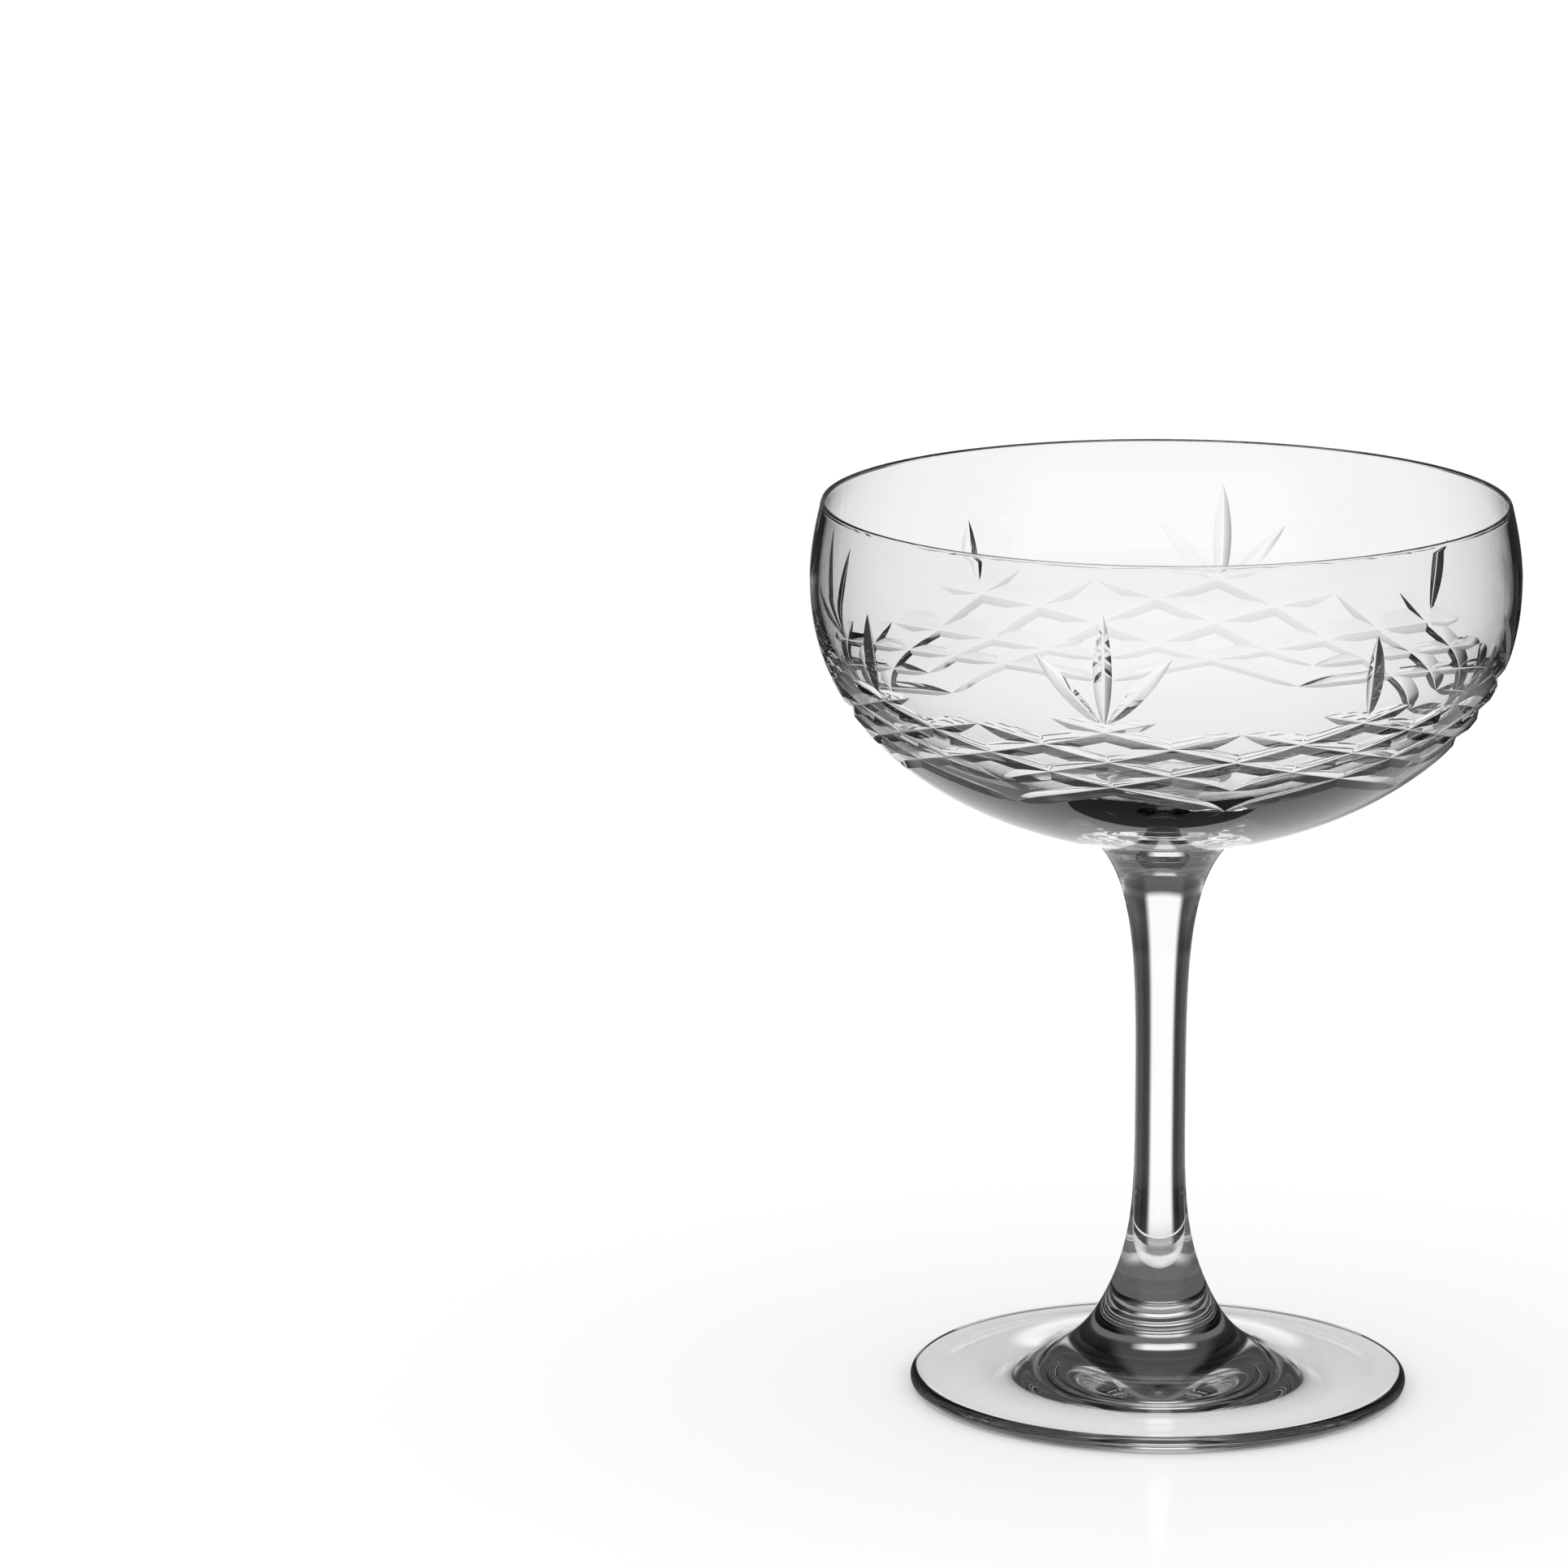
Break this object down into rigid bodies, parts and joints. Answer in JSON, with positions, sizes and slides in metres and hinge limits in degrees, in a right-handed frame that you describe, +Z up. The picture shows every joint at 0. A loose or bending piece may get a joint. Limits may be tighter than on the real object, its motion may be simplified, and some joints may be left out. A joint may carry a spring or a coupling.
{
  "type": "champagne saucer",
  "caption": "Champagne saucer: wide shallow crystal bowl with crossed mitre cuts and leaf-cut fans, on a slim flared stem and a round foot.",
  "frame": {"origin": "middle of the foot's resting face", "axes": "+Z up along the stem's axis; -Y faces the viewer of the picture"},
  "size_m": [0.105, 0.105, 0.135],
  "materials": {
    "foot_crystal": "clear crystal, fire polished",
    "stem_crystal": "clear crystal, fire polished",
    "bowl_crystal": "clear crystal, mitre cut and polished"
  },
  "bodies": {
    "root": {"foot": "foot_crystal", "stem": "stem_crystal", "bowl": "bowl_crystal"}
  },
  "joints": []
}
